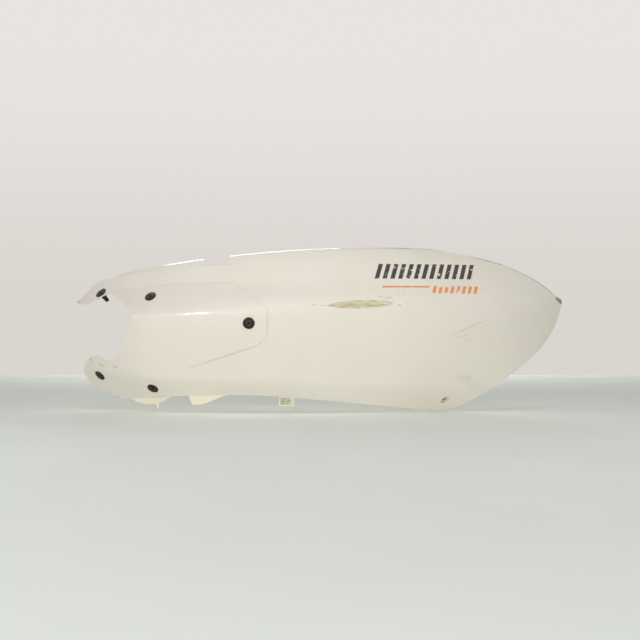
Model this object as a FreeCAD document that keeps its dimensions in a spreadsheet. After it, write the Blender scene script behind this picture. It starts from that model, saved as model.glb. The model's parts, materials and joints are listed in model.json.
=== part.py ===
"""Left rear side panel of a small motor scooter, a painted moulding with five two-piece rivets left in it.

X runs back along the scooter, Z is up and the outer face looks towards -Y. The origin is where the centre
rivet's axis leaves the back of the panel. Lengths are millimetres, and tilts are degrees from upright.
"""
import FreeCAD, Part
import math
import os

import Sketcher
from FreeCAD import Placement, Rotation, Vector

# Cross-sections of the skin, from the top rim down: the band under the seat, the shoulder line, the upper
# facet, the crest line, the side, the crease and the flank. A roll is half the height of a rounded line.
SECTIONS = {
    "ear": {
        "x": -222, "shoulder": 47, "shoulder_roll": 3, "crest": 9, "crest_roll": 2.5, "crease": -74,
        "crease_roll": 5, "band_top": 35, "band_low": 35, "facet_top": 54, "facet_low": 42, "side_top": 17,
        "side_low": 26, "flank": 48,
    },
    "front": {
        "x": -146, "shoulder": 56, "shoulder_roll": 3, "crest": 11, "crest_roll": 2.5, "crease": -83,
        "crease_roll": 5, "band_top": 31, "band_low": 27, "facet_top": 51, "facet_low": 37, "side_top": 16,
        "side_low": 23, "flank": 48,
    },
    "middle": {
        "x": 60, "shoulder": 56, "shoulder_roll": 12, "crest": 22, "crest_roll": 10, "crease": -86,
        "crease_roll": 6, "band_top": 23, "band_low": 12, "facet_top": 29, "facet_low": 12, "side_top": 8,
        "side_low": 21, "flank": 45,
    },
    "rear": {
        "x": 300, "shoulder": 62, "shoulder_roll": 14, "crest": 30, "crest_roll": 6, "crease": -97,
        "crease_roll": 6, "band_top": 35, "band_low": 24, "facet_top": 23, "facet_low": 6, "side_top": 7,
        "side_low": 23, "flank": 42,
    },
}

# The outline in side view, clockwise from the top of the tail. Each stretch is a smooth curve that ends at the
# first point of the next. The top edge between the ear and the tail is the rim of the skin itself.
OUTLINE = {
    "tail_top": ((250, 116), (283, 108.5), (337, 99), (379, 89), (414, 76), (441, 62.5), (469, 43)),
    "tail_low": ((481, 35), (473, 6), (460.5, -18.5), (442.5, -41), (393, -81), (341, -115)),
    "corner": ((301, -130.5), (296.5, -133)),
    "lower_edge": ((289.5, -134.5), (208, -126), (103, -115.5), (-1, -108), (-126, -111.5)),
    "lower_ear": ((-207, -118.5), (-245, -101), (-263, -86.5), (-263.5, -67), (-250, -53)),
    "ear_notch": ((-224, -55.5), (-203, -52.5), (-192, -34), (-180, -12), (-172, 10), (-187, 27.5)),
    "upper_ear": ((-212.5, 44), (-232, 40), (-253, 30), (-270, 29.5)),
    "ear_top": ((-277, 34), (-256, 54), (-249, 61), (-224, 68.5)),
    "ear_end": ((-196, 80),),
}

# The raised shield round the centre rivet: its upper edge follows the shoulder line.
SHIELD = {
    "shield_slant_top": (-24.5, 60.5),
    "shield_slant_low": (27, 19),
    "shield_back": (26.5, -18.5),
    "shield_low": (14.5, -32),
    "shield_fade": (-85, -64.5),
    "shield_front_low": (-150, -84),
}

# Places of the rivets in side view.
RIVETS = {
    "rivet_upper_ear": (-234.5, 46),
    "rivet_upper": (-148, 39.5),
    "rivet_centre": (0, 0),
    "rivet_lower_ear": (-236.5, -81),
    "rivet_lower": (-149, -98.5),
}

SIZES = {
    # skin
    "wall": 2.6,
    "rim_height": 4,
    "rim_tilt": 62,
    "top_arch_x": 200,
    "top_arch_z": 112,
    "top_arch_radius": 2280,
    "skirt_z": -150,
    "station_count": 15,
    "end_overrun": 12,
    # how the crest line turns in towards both ends, seen from above
    "front_bend_x": -70,
    "front_bend_radius": 260,
    "front_bend_limit": 43.5,
    "tail_bend_x": 150,
    "tail_bend_radius": 520,
    # raised shield
    "shield_rise": 1.6,
    "shield_rise_front": 0.25,
    # hook and cut-out in the top rim
    "notch_front_x": -70.5,
    "notch_rear_x": -31.5,
    "notch_floor_z": 86.5,
    "slit_length": 17,
    "slit_height": 2.6,
    # rivets and their seats
    "head_radius": 8.6,
    "head_rim": 1.3,
    "head_dome": 2.1,
    "collar_radius": 4.0,
    "neck_radius": 3.7,
    "neck_length": 3,
    "leg_length": 9,
    "leg_tip_radius": 3.0,
    "slot_width": 0.8,
    "pin_head_radius": 3.9,
    "pin_head_height": 1.4,
    "pin_radius": 1.9,
    "pin_overrun": 0.8,
    "pin_clearance": 0.15,
    "pin_sink": 0.3,
    "cross_length": 5,
    "cross_width": 1.3,
    "cross_depth": 1.1,
    "seat_sink": 0.5,
    "seat_clearance": 0.4,
    "hole_clearance": 0.25,
    "pad_radius": 11.5,
    "grip": 4.4,
    # screw hole at the lower rear corner, in an oblong recess with a boss behind it
    "screw_x": 292,
    "screw_z": -116.5,
    "screw_radius": 2.6,
    "screw_recess_radius": 4,
    "screw_recess_length": 9,
    "screw_recess_depth": 1.2,
    "screw_slant": 43,
    "screw_boss_radius": 5.2,
    "screw_boss_length": 8,
    # tabs under the lower edge
    "tab_wall": 2.2,
    "tab_setback": 0.9,
    "tab_root": 3,
    "flange_front_x": -190,
    "flange_rear_x": -124,
    "flange_drop": 8,
    "peg_x": -145,
    "peg_radius": 2,
    "peg_length": 4,
    "peg_root_radius": 3,
    "peg_root_length": 1,
    "hook_front_x": -95,
    "hook_rear_x": -38,
    "hook_drop": 14,
    "hook_toe": 6,
    "hook_tip": 17,
    "hook_heel": 1.5,
    "socket_front_x": 42,
    "socket_width": 22,
    "socket_drop": 14,
    "socket_depth": 11,
    "socket_wall": 2,
}

# How far cutting blocks reach to both sides, and how far apart a face is probed for its normal.
CUT_REACH = 320
NORMAL_STEP = 0.5
# Place, in a section's list of lines, of the line where the crest's rounding starts.
CREST_KNOT = 4

doc = FreeCAD.newDocument("side_panel")


def make_sheet():
    """Put every driving dimension into the spreadsheet under its own alias."""
    values = dict(SIZES)
    for station, sizes in SECTIONS.items():
        for name, value in sizes.items():
            values[f"{station}_{name}"] = value
    for name, points in OUTLINE.items():
        for index, (x, z) in enumerate(points):
            values[f"{name}_{index}_x"] = x
            values[f"{name}_{index}_z"] = z
    for name, (x, z) in list(SHIELD.items()) + list(RIVETS.items()):
        values[f"{name}_x"] = x
        values[f"{name}_z"] = z
    book = doc.addObject("Spreadsheet::Sheet", "sizes")
    for row, (name, value) in enumerate(values.items(), start=1):
        book.set(f"A{row}", name)
        book.set(f"B{row}", str(value))
        book.setAlias(f"B{row}", name)
    doc.recompute()
    return book


sheet = make_sheet()


def size(name):
    """The value of one cell."""
    return float(sheet.get(name))


def place(name):
    """A named place in side view, as a point in the plane of the outline."""
    return Vector(size(f"{name}_x"), 0, size(f"{name}_z"))


def slope(degrees):
    return math.tan(math.radians(degrees))


def between(x, what):
    """A size of the cross-section at x, in straight steps between the named sections."""
    stations = list(SECTIONS)
    places = [size(f"{station}_x") for station in stations]
    sizes = [size(f"{station}_{what}") for station in stations]
    if x <= places[0]:
        return sizes[0]
    for index in range(1, len(places)):
        if x <= places[index]:
            share = (x - places[index - 1]) / (places[index] - places[index - 1])
            return sizes[index - 1] + share * (sizes[index] - sizes[index - 1])
    return sizes[-1]


def bend(reach, radius, limit):
    """Depth and slope of an arc that turns in, then runs straight once it has turned to the limit."""
    turn = radius * math.sin(math.radians(limit))
    along = min(max(reach, 0), turn)
    drop = math.sqrt(radius ** 2 - along ** 2)
    lean = along / drop
    return radius - drop + max(reach - turn, 0) * lean, lean


def plan(x):
    """Depth of the crest line at x and its slope, seen from above."""
    limit = size("front_bend_limit")
    front, front_lean = bend(size("front_bend_x") - x, size("front_bend_radius"), limit)
    tail, tail_lean = bend(x - size("tail_bend_x"), size("tail_bend_radius"), limit)
    return front + tail, tail_lean - front_lean


def top_edge(x):
    radius = size("top_arch_radius")
    return size("top_arch_z") - radius + math.sqrt(radius ** 2 - (x - size("top_arch_x")) ** 2)


def section_knots(x):
    """Height, depth and slope at each line of the skin's outer face at x, from the rim down."""
    top = top_edge(x)
    crest = between(x, "crest")
    crest_roll = between(x, "crest_roll")
    shoulder = between(x, "shoulder")
    shoulder_roll = between(x, "shoulder_roll")
    crease = between(x, "crease")
    crease_roll = between(x, "crease_roll")
    flank = -slope(between(x, "flank"))
    knots = [
        (top, slope(size("rim_tilt"))),
        (top - size("rim_height"), slope(between(x, "band_top"))),
        (shoulder + shoulder_roll, slope(between(x, "band_low"))),
        (shoulder - shoulder_roll, slope(between(x, "facet_top"))),
        (crest + crest_roll, slope(between(x, "facet_low"))),
        (crest - crest_roll, -slope(between(x, "side_top"))),
        (crease + crease_roll, -slope(between(x, "side_low"))),
        (crease - crease_roll, flank),
        (size("skirt_z"), flank),
    ]
    upper_slope = knots[CREST_KNOT][1]
    lower_slope = knots[CREST_KNOT + 1][1]
    depth, _ = plan(x)
    depths = [0.0] * len(knots)
    depths[CREST_KNOT] = depth + crest_roll * (3 * upper_slope + lower_slope) / 4
    for index in range(CREST_KNOT - 1, -1, -1):
        rise = knots[index][0] - knots[index + 1][0]
        depths[index] = depths[index + 1] + rise * (knots[index][1] + knots[index + 1][1]) / 2
    for index in range(CREST_KNOT + 1, len(knots)):
        fall = knots[index][0] - knots[index - 1][0]
        depths[index] = depths[index - 1] + fall * (knots[index][1] + knots[index - 1][1]) / 2
    return [(height, depth, lean) for (height, lean), depth in zip(knots, depths)]


def section_edges(x, inset):
    """The section's curve at x, moved inwards by the inset, as one cubic for each face and line."""
    _, plan_lean = plan(x)
    points = []
    for height, depth, lean in section_knots(x):
        points.append((height, depth + inset * math.sqrt(1 + lean ** 2 + plan_lean ** 2), lean))
    edges = []
    for (z0, y0, lean0), (z1, y1, lean1) in zip(points, points[1:]):
        third = (z1 - z0) / 3
        curve = Part.BezierCurve()
        curve.setPoles([
            Vector(x, y0, z0),
            Vector(x, y0 + lean0 * third, z0 + third),
            Vector(x, y1 - lean1 * third, z1 - third),
            Vector(x, y1, z1),
        ])
        edges.append(curve.toBSpline().toShape())
    return edges


def wall_loft(name, stations, outside, inside):
    """A loft through closed wall sections, between two insets that may change along X."""
    wires = []
    for index, x in enumerate(stations):
        outer = section_edges(x, outside(x))
        inner = section_edges(x, inside(x))
        top = Part.makeLine(inner[0].Vertexes[0].Point, outer[0].Vertexes[0].Point)
        bottom = Part.makeLine(outer[-1].Vertexes[-1].Point, inner[-1].Vertexes[-1].Point)
        section = doc.addObject("Part::Feature", f"{name}_section_{index}")
        section.Shape = Part.Wire(Part.sortEdges([top] + outer + [bottom] + inner)[0])
        wires.append(section)
    loft = doc.addObject("Part::Loft", name)
    loft.Sections = wires
    loft.Solid = True
    loft.Ruled = False
    return loft


def prism(name, wire):
    """A flat outline in side view, carried right through the panel along Y."""
    outline = doc.addObject("Part::Feature", f"{name}_outline")
    outline.Shape = Part.Face(wire)
    block = doc.addObject("Part::Extrusion", name)
    block.Base = outline
    block.DirMode = "Custom"
    block.Dir = Vector(0, 1, 0)
    block.LengthFwd = CUT_REACH
    block.LengthRev = CUT_REACH
    block.Solid = True
    return block


def polygon(points):
    return Part.makePolygon(list(points) + [points[0]])


def spline(points):
    curve = Part.BSplineCurve()
    curve.interpolate(points)
    return curve.toShape()


def outline_stretch(name):
    """One stretch of the outline, up to the first point of the next."""
    names = list(OUTLINE)
    following = names[names.index(name) + 1]
    points = [place(f"{name}_{index}") for index in range(len(OUTLINE[name]))]
    return spline(points + [place(f"{following}_0")])


def boolean(kind, name, base, tool):
    result = doc.addObject(f"Part::{kind}", name)
    result.Base = base
    result.Tool = tool
    return result


def fuse_all(name, shapes):
    result = doc.addObject("Part::MultiFuse", name)
    result.Shapes = shapes
    return result


def bound(kind, name, sizes):
    """A primitive whose properties are bound to cells or formulas of cells."""
    result = doc.addObject(f"Part::{kind}", name)
    for prop, formula in sizes.items():
        result.setExpression(prop, formula)
    return result


def spread(first, last, count):
    return [first + (last - first) * index / (count - 1) for index in range(count)]


def make_outline():
    """The side-view outline, open above the rim so that the rim keeps its own rolled edge."""
    edges = [outline_stretch(name) for name in list(OUTLINE)[:-1]]
    first = place("tail_top_0")
    last = place("ear_end_0")
    above = size("top_arch_z") + size("end_overrun")
    corners = [last, Vector(last.x, 0, above), Vector(first.x, 0, above), first]
    edges += Part.makePolygon(corners).Edges
    return prism("outline_block", Part.Wire(Part.sortEdges(edges)[0]))


def make_wall():
    """The double-curved wall with the raised shield at its front, before it is cut to the outline."""
    count = int(size("station_count"))
    front = size("ear_top_0_x") - size("end_overrun")
    tail = size("tail_low_0_x") + size("end_overrun")
    wall = size("wall")
    stations = spread(front, tail, count)
    skin = wall_loft("skin", stations, lambda x: 0.0, lambda x: wall)

    fade = size("shield_fade_x")
    back = size("shield_slant_low_x")
    rise = size("shield_rise")
    rise_front = size("shield_rise_front")

    def shield_outside(x):
        share = min(max((x - fade) / (back - fade), 0), 1)
        return -(rise_front + (rise - rise_front) * share)

    covered = 1 + sum(x <= back for x in stations)
    raised = wall_loft("shield_wall", stations[:covered], shield_outside, lambda x: wall / 2)
    corners = [place(name) for name in SHIELD]
    corners.append(Vector(front, 0, corners[-1].z))
    corners.append(Vector(front, 0, size("ear_shoulder")))
    corners.append(Vector(size("ear_x"), 0, size("ear_shoulder")))
    corners.append(Vector(size("front_x"), 0, size("front_shoulder")))
    shield = boolean("Common", "shield", raised, prism("shield_block", polygon(corners)))
    return boolean("Fuse", "skin_with_shield", skin, shield)


def surface_point(shape, x, z):
    """Where a line along Y first meets the outer face."""
    line = Part.makeLine(Vector(x, -CUT_REACH, z), Vector(x, CUT_REACH, z))
    inside = shape.common(line)
    return min((vertex.Point for vertex in inside.Vertexes), key=lambda point: point.y)


def surface_frame(shape, x, z, sink):
    """A place sunk below the outer face: its Z is the face's outward normal, and its X runs back along it."""
    along = surface_point(shape, x + NORMAL_STEP, z) - surface_point(shape, x - NORMAL_STEP, z)
    up = surface_point(shape, x, z + NORMAL_STEP) - surface_point(shape, x, z - NORMAL_STEP)
    normal = along.cross(up).normalize()
    point = surface_point(shape, x, z) - normal * sink
    return Placement(point, Rotation(along, up, normal, "ZXY"))


def profile_sketch(body, name, points):
    """A closed profile of straight edges in the XZ plane, each corner set by two formulas of cells."""
    sketch = body.newObject("Sketcher::SketchObject", name)
    plane = next(feature for feature in body.Origin.OriginFeatures if feature.Role == "XZ_Plane")
    sketch.AttachmentSupport = [(plane, "")]
    sketch.MapMode = "FlatFace"
    places = [Vector(value(radius), value(height), 0) for radius, height in points]
    count = len(places)
    for index in range(count):
        sketch.addGeometry(Part.LineSegment(places[index], places[(index + 1) % count]))
    for index in range(count):
        sketch.addConstraint(Sketcher.Constraint("Coincident", index, 2, (index + 1) % count, 1))
    for index, (radius, height) in enumerate(points):
        for kind, formula, axis, number in (
            ("DistanceX", radius, -2, places[index].x),
            ("DistanceY", height, -1, places[index].y),
        ):
            if formula == "0":
                sketch.addConstraint(Sketcher.Constraint("PointOnObject", index, 1, axis))
                continue
            row = sketch.addConstraint(Sketcher.Constraint(kind, -1, 1, index, 1, number))
            sketch.setExpression(f"Constraints[{row}]", formula)
    return sketch


def value(formula):
    """What a formula of cells comes to now."""
    return float(sheet.evalExpression(formula))


def turned(name, points):
    """A body turned about Z from a bound profile."""
    body = doc.addObject("PartDesign::Body", name)
    sketch = profile_sketch(body, f"{name}_profile", points)
    doc.recompute()
    turn = body.newObject("PartDesign::Revolution", f"{name}_turn")
    turn.Profile = sketch
    turn.ReferenceAxis = (sketch, ["V_Axis"])
    turn.Angle = 360
    doc.recompute()
    return body


def crossed_bars(name, length, width, height, base):
    """Two bars crossed at right angles on the Z axis, standing on the base height."""
    bars = []
    for index, (along, across) in enumerate(((length, width), (width, length))):
        bar = bound("Box", f"{name}_{index}", {
            "Length": along,
            "Width": across,
            "Height": height,
            "Placement.Base.x": f"-({along}) / 2",
            "Placement.Base.y": f"-({across}) / 2",
            "Placement.Base.z": base,
        })
        bars.append(bar)
    return fuse_all(name, bars)


def make_rivet_body():
    """A flanged sleeve: a collar in the panel, a neck for the plate behind it, and four legs that spread.

    Its local Z is zero on the seat, and the head stands above.
    """
    bore = "sizes.pin_radius + sizes.pin_clearance"
    well = "sizes.pin_head_radius + sizes.pin_clearance"
    floor = "sizes.head_dome - sizes.pin_sink - sizes.pin_head_height"
    split = "-sizes.grip - sizes.neck_length"
    tip = f"{split} - sizes.leg_length"
    sleeve = turned("rivet_sleeve", [
        (bore, tip),
        ("sizes.leg_tip_radius", tip),
        ("sizes.neck_radius", split),
        ("sizes.neck_radius", "-sizes.grip"),
        ("sizes.collar_radius", "-sizes.grip"),
        ("sizes.collar_radius", "0"),
        ("sizes.head_radius", "0"),
        ("sizes.head_radius", "sizes.head_rim"),
        (well, "sizes.head_dome"),
        (well, floor),
        (bore, floor),
    ])
    slots = crossed_bars("leg_slots", "2 * sizes.collar_radius", "sizes.slot_width",
                         "2 * sizes.leg_length", f"{tip} - sizes.leg_length")
    return boolean("Cut", "rivet_body", sleeve, slots)


def make_rivet_pin():
    """The centre pin that spreads the legs, with a cross recess in its head."""
    floor = "sizes.head_dome - sizes.pin_sink - sizes.pin_head_height"
    top = "sizes.head_dome - sizes.pin_sink"
    tip = "-sizes.grip - sizes.neck_length - sizes.leg_length - sizes.pin_overrun"
    stem = turned("pin_stem", [
        ("0", tip),
        ("sizes.pin_radius", tip),
        ("sizes.pin_radius", floor),
        ("sizes.pin_head_radius", floor),
        ("sizes.pin_head_radius", top),
        ("0", top),
    ])
    cross = crossed_bars("cross_recess", "sizes.cross_length", "sizes.cross_width", "2 * sizes.cross_depth",
                         f"{top} - sizes.cross_depth")
    return boolean("Cut", "rivet_pin", stem, cross)


def placed_group(name, shape, places):
    """Separate copies of one piece, each in its own place, as one group."""
    copies = []
    for index, where in enumerate(places):
        copy = doc.addObject("Part::Feature", f"{name}_{index}")
        copy.Shape = shape.copy()
        copy.Placement = where
        copies.append(copy)
    group = doc.addObject("Part::Compound", name)
    group.Links = copies
    return group


def standing(obj, where):
    """Put a primitive made on the local Z axis where a surface frame says."""
    obj.Placement = where
    return obj


def pad_behind(name, where):
    """A round pad behind the wall, so that every rivet grips the same thickness."""
    pad = bound("Cylinder", f"{name}_pad", {
        "Radius": "sizes.pad_radius",
        "Height": "sizes.grip - sizes.wall / 2",
    })
    inner = Placement(Vector(0, 0, -size("grip")), Rotation())
    return standing(pad, where.multiply(inner))


def seat_cutters(name, where):
    """A flat seat for the rivet head, and the hole for its legs."""
    seat = bound("Cylinder", f"{name}_seat", {
        "Radius": "sizes.head_radius + sizes.seat_clearance",
        "Height": "2 * sizes.head_radius",
    })
    hole = bound("Cylinder", f"{name}_hole", {
        "Radius": "sizes.collar_radius + sizes.hole_clearance",
        "Height": "4 * sizes.grip",
    })
    below = Placement(Vector(0, 0, -2 * size("grip")), Rotation())
    return [standing(seat, where), standing(hole, where.multiply(below))]


def screw_boss(where):
    """A tube behind the wall for the screw at the lower rear corner."""
    boss = bound("Cylinder", "screw_boss", {
        "Radius": "sizes.screw_boss_radius",
        "Height": "sizes.screw_boss_length - (sizes.wall - sizes.screw_recess_depth) / 2",
    })
    inner = Placement(Vector(0, 0, -size("screw_boss_length")), Rotation())
    return standing(boss, where.multiply(inner))


def screw_cutters(where):
    """The screw hole, and a slanted oblong recess for the screw's head."""
    slanted = where.multiply(Placement(Vector(), Rotation(Vector(0, 0, 1), size("screw_slant"))))
    height = "4 * sizes.screw_recess_radius"
    half_length = size("screw_recess_length") / 2
    middle = bound("Box", "screw_recess", {
        "Length": "sizes.screw_recess_length",
        "Width": "2 * sizes.screw_recess_radius",
        "Height": height,
    })
    corner = Placement(Vector(-half_length, -size("screw_recess_radius"), 0), Rotation())
    cutters = [standing(middle, slanted.multiply(corner))]
    for index, along in enumerate((-half_length, half_length)):
        end = bound("Cylinder", f"screw_recess_end_{index}", {
            "Radius": "sizes.screw_recess_radius",
            "Height": height,
        })
        cutters.append(standing(end, slanted.multiply(Placement(Vector(along, 0, 0), Rotation()))))
    hole = bound("Cylinder", "screw_hole", {
        "Radius": "sizes.screw_radius",
        "Height": "2 * (sizes.screw_boss_length + sizes.wall)",
    })
    below = Placement(Vector(0, 0, -size("screw_boss_length") - size("wall")), Rotation())
    cutters.append(standing(hole, where.multiply(below)))
    return cutters


def rim_cutters():
    """The cut-out in the top rim and the slit that frees a hook in front of it."""
    across = {"Width": f"{2 * CUT_REACH}", "Placement.Base.y": f"-{CUT_REACH}"}
    notch = bound("Box", "rim_notch", {
        "Length": "sizes.notch_rear_x - sizes.notch_front_x",
        "Height": "sizes.top_arch_z - sizes.notch_floor_z",
        "Placement.Base.x": "sizes.notch_front_x",
        "Placement.Base.z": "sizes.notch_floor_z",
        **across,
    })
    slit = bound("Box", "rim_slit", {
        "Length": "2 * sizes.slit_length",
        "Height": "sizes.slit_height",
        "Placement.Base.x": "sizes.notch_front_x - sizes.slit_length",
        "Placement.Base.z": "sizes.notch_floor_z",
        **across,
    })
    return [notch, slit]


def lower_edge_point(shape, x):
    """Where the outer face meets the lower edge at x."""
    line = Part.makeLine(Vector(x, 0, 0), Vector(x, 0, size("skirt_z")))
    height = outline_stretch("lower_edge").distToShape(line)[1][0][0].z
    return surface_point(shape, x, height)


def edge_frame(shape, front_x, rear_x):
    """A frame on the lower edge, X along its chord and Y inwards, with where the chord ends."""
    front = lower_edge_point(shape, front_x)
    chord = lower_edge_point(shape, rear_x) - front
    turn = Rotation(Vector(0, 0, 1), math.degrees(math.atan2(chord.y, chord.x)))
    return Placement(front, turn), Vector(math.hypot(chord.x, chord.y), 0, chord.z)


def edge_plate(name, where, wire):
    """A flat plate that hangs from the inner half of the wall's lower edge."""
    outline = doc.addObject("Part::Feature", f"{name}_outline")
    outline.Shape = Part.Face(wire)
    plate = doc.addObject("Part::Extrusion", name)
    plate.Base = outline
    plate.DirMode = "Custom"
    plate.Dir = Vector(0, 1, 0)
    plate.setExpression("LengthFwd", "sizes.tab_wall")
    plate.Solid = True
    inward = Placement(Vector(0, size("tab_setback"), 0), Rotation())
    return standing(plate, where.multiply(inward))


def make_flange(shape):
    """A curved lip with a locating peg under it."""
    where, end = edge_frame(shape, size("flange_front_x"), size("flange_rear_x"))
    root = Vector(0, 0, size("tab_root"))
    low = Vector(end.x / 2, 0, -size("flange_drop"))
    edges = Part.makePolygon([Vector(), root, end + root, end]).Edges
    edges.append(Part.Arc(end, low, Vector()).toShape())
    lip = edge_plate("flange", where, Part.Wire(Part.sortEdges(edges)[0]))
    along = (size("peg_x") - size("flange_front_x")) / (size("flange_rear_x") - size("flange_front_x"))
    foot = Vector(along * end.x, size("tab_setback") + size("tab_wall") / 2, -size("flange_drop"))
    foot.z -= size("peg_root_length")
    stand = where.multiply(Placement(foot, Rotation()))
    root_pad = bound("Cylinder", "peg_root", {
        "Radius": "sizes.peg_root_radius",
        "Height": "sizes.peg_root_length + sizes.tab_root",
    })
    peg = bound("Cylinder", "peg", {
        "Radius": "sizes.peg_radius",
        "Height": "sizes.peg_length + sizes.peg_root_length",
    })
    below = Placement(Vector(0, 0, -size("peg_length")), Rotation())
    return [lip, standing(root_pad, stand), standing(peg, stand.multiply(below))]


def make_hook(shape):
    """A hook that slopes up towards the rear."""
    where, end = edge_frame(shape, size("hook_front_x"), size("hook_rear_x"))
    root = Vector(0, 0, size("tab_root"))
    toe = Vector(size("hook_toe"), 0, -size("hook_drop"))
    heel = toe + Vector(size("hook_tip"), 0, size("hook_heel"))
    return edge_plate("hook", where, polygon([Vector(), root, end + root, end, heel, toe]))


def make_socket(shape):
    """A square socket for a clip, open towards the outside under the edge."""
    front_x = size("socket_front_x")
    where, _ = edge_frame(shape, front_x, front_x + size("socket_width"))
    block = bound("Box", "socket_block", {
        "Length": "sizes.socket_width",
        "Width": "sizes.socket_depth",
        "Height": "sizes.socket_drop + sizes.tab_root",
    })
    hollow = bound("Box", "socket_hollow", {
        "Length": "sizes.socket_width - 2 * sizes.socket_wall",
        "Width": "sizes.socket_depth",
        "Height": "sizes.socket_drop - 2 * sizes.socket_wall",
    })
    setback = size("tab_setback")
    wall = size("socket_wall")
    base = Vector(0, setback, -size("socket_drop"))
    standing(block, where.multiply(Placement(base, Rotation())))
    standing(hollow, where.multiply(Placement(base + Vector(wall, -wall, wall), Rotation())))
    return boolean("Cut", "socket", block, hollow)


def make_panel(wall, seats, screw):
    """The moulding: padded wall cut to its outline, then tabs, holes and the rim's cut-out."""
    pads = [pad_behind(name, seat) for name, seat in seats.items()] + [screw_boss(screw)]
    padded = fuse_all("padded_wall", [wall] + pads)
    trimmed = boolean("Common", "trimmed_wall", padded, make_outline())
    tabs = make_flange(wall.Shape) + [make_hook(wall.Shape), make_socket(wall.Shape)]
    moulding = fuse_all("moulding", [trimmed] + tabs)
    cutters = rim_cutters() + screw_cutters(screw)
    for name, seat in seats.items():
        cutters += seat_cutters(name, seat)
    return boolean("Cut", "side_panel", moulding, fuse_all("cutters", cutters))


def check_and_write(nodes):
    """Stop on any failed object, then write one file for each node."""
    for obj in doc.Objects:
        if "Invalid" in obj.State or "Error" in obj.State:
            raise RuntimeError(f"{obj.Label} failed: {obj.State}")
    for node, solids in nodes.items():
        if node.Shape.isNull() or not node.Shape.isValid():
            raise RuntimeError(f"{node.Label} has no valid shape")
        if len(node.Shape.Solids) != solids:
            raise RuntimeError(f"{node.Label} has {len(node.Shape.Solids)} solids, not {solids}")
    os.makedirs("parts", exist_ok=True)
    for node in nodes:
        node.Shape.exportStep(f"parts/{node.Label}.step")


def main():
    wall = make_wall()
    doc.recompute()
    seats = {}
    for name in RIVETS:
        spot = place(name)
        seats[name] = surface_frame(wall.Shape, spot.x, spot.z, size("seat_sink"))
    screw = surface_frame(wall.Shape, size("screw_x"), size("screw_z"), size("screw_recess_depth"))
    panel = make_panel(wall, seats, screw)
    body = make_rivet_body()
    pin = make_rivet_pin()
    doc.recompute()
    centre_back = seats["rivet_centre"].multVec(Vector(0, 0, -size("grip")))
    to_origin = Placement(centre_back * -1, Rotation())
    panel.Placement = to_origin
    places = [to_origin.multiply(seat) for seat in seats.values()]
    bodies = placed_group("rivet_bodies", body.Shape, places)
    pins = placed_group("rivet_pins", pin.Shape, places)
    doc.recompute()
    check_and_write({panel: 1, bodies: len(seats), pins: len(seats)})


main()
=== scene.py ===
"""Looks of a scooter side panel: worn cream paint, a bare moulded back, nylon rivets and a pale stage."""
import json
import math
from typing import NamedTuple

import bmesh
import bpy
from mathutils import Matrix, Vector


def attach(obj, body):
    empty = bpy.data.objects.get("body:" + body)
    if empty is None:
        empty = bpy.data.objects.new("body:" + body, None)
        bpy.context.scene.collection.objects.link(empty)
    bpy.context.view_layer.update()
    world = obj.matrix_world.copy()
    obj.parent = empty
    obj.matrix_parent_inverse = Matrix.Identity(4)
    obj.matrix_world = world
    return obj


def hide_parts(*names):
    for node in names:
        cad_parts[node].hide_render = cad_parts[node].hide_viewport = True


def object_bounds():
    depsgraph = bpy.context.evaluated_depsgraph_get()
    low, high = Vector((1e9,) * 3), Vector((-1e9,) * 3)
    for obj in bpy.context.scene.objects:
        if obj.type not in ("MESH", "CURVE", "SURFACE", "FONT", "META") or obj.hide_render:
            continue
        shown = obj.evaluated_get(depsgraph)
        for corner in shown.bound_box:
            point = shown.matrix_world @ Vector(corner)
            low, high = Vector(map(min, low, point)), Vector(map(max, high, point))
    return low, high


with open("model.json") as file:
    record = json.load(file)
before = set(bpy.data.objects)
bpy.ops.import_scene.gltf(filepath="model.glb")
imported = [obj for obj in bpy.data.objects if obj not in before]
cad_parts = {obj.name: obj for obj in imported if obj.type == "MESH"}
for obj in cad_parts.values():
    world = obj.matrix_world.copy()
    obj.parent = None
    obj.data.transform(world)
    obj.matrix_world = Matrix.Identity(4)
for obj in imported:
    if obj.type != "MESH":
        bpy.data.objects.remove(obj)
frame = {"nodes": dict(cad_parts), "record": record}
CAD_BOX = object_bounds()
MOUNTS = {mount["name"]: mount for mount in frame["record"]["mounts"]}

bl_info = {
    "name": "Scooter side panel",
    "version": (1, 0, 0),
    "blender": (4, 5, 0),
    "location": "View3D > Sidebar > Side Panel",
    "description": "Dresses a packed scooter side panel with worn paint, a bare back and nylon rivets",
    "category": "Object",
}

MM = 0.001

# How the frame's meshes are joined and rounded.
MERGE_DISTANCE = 0.002 * MM
SHARP_ANGLE = math.radians(28)
EDGE_SEGMENTS = 2

# Places on the panel in side view, X and Z in millimetres. A mark along a line has its half width last, and
# an oval has its half sizes last.
SCUFF = ((116, 24.8), (209.5, 27.8), 5.7)
SCUFF_LINES = (
    ((113, 24.6), (129, 24.3), 0.7),
    ((90, 26), (100, 25.2), 0.4),
    ((103, 25), (111, 24.8), 0.4),
    ((197, 35), (208, 36.5), 0.45),
    ((186, 36.5), (196, 38), 0.35),
)
SCUFF_SPECKS = (
    ((218.7, 25.1), (2.2, 1.6)),
    ((216.4, 42.1), (1.4, 1.1)),
    ((225.2, 39.5), (1.2, 0.9)),
    ((208.9, 31.1), (1.3, 0.9)),
    ((229, 27.5), (0.9, 0.8)),
)
SCRATCHES = (
    ((291.6, -21.4), (350.1, 3.6), 0.75),
    ((304, -23), (327, -17.2), 0.6),
    ((318.1, -29), (328.8, -23.1), 0.55),
    ((340.9, -8.3), (353.5, -3.9), 0.5),
)
TAIL_CHIP = (
    ((468.5, 38.6), (480.5, 30.5), 2.4),
    ((475, 34), (482, 28.5), 2.3),
    ((472, 36), (480, 35), 1.7),
)
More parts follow.
